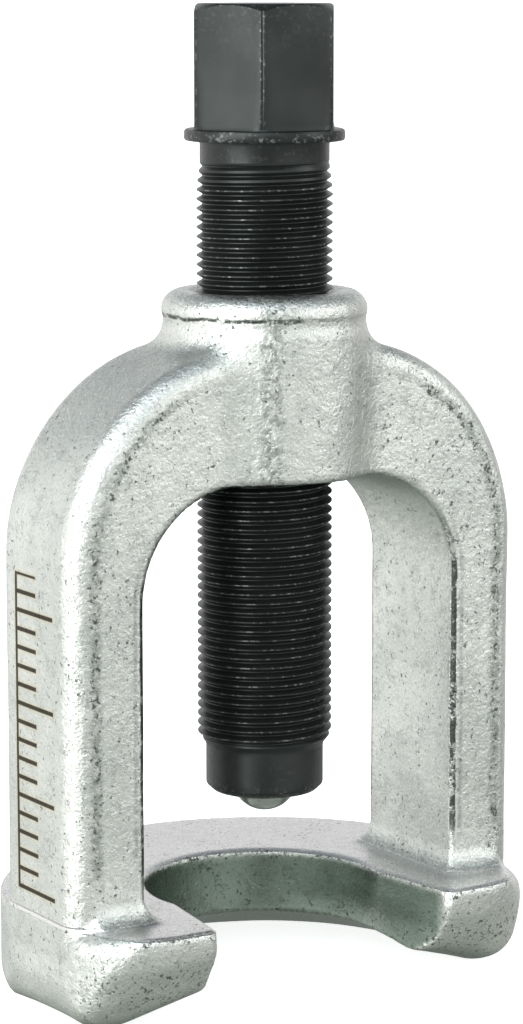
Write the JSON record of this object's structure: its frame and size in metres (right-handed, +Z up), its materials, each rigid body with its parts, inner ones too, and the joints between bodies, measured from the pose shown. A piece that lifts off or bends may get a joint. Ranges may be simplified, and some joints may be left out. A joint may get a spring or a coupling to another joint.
{
  "type": "ball joint separator",
  "caption": "Forged yoke with an arched window and a horseshoe fork; a fine-thread pressure spindle with a captive thrust ball presses a ball stud out of its seat.",
  "frame": {"origin": "where the spindle axis meets the plane of the throat's lower rim, in the middle of the fork's throat", "axes": "+Z up along the spindle towards its hexagon, +X from one leg to the other across the mirror plane, -Y out of the mouth of the fork's throat"},
  "size_m": [0.086, 0.0671, 0.1603],
  "materials": {
    "zinc_plated_forging": "drop-forged steel with an even forged grain, bright zinc plating with a faint greenish-grey cast, dark specks in the pits and brighter worn edges",
    "black_oxide_steel": "black oxide, satin, with the thread crests and collar rim worn brighter",
    "hardened_ball_steel": "ground bearing steel, lightly rubbed"
  },
  "bodies": {
    "yoke": {"forged_yoke": "zinc_plated_forging"},
    "ball": {"thrust_ball": "hardened_ball_steel"},
    "screw": {"spindle": "black_oxide_steel"}
  },
  "joints": [
    {"name": "spindle_feed", "type": "slide", "parent": "yoke", "child": "ball", "axis": [0, 0, 1], "range_m": [-0.0225, 0.042]},
    {"name": "spindle_turn", "type": "hinge", "parent": "ball", "child": "screw", "pos_m": [0, 0, 0.0282], "axis": [0, 0, 1], "range_deg": [-5400, 10080]}
  ],
  "couplings": [
    {"joint": "spindle_feed", "follows": "spindle_turn", "m_per_rad": 0.00023873}
  ]
}
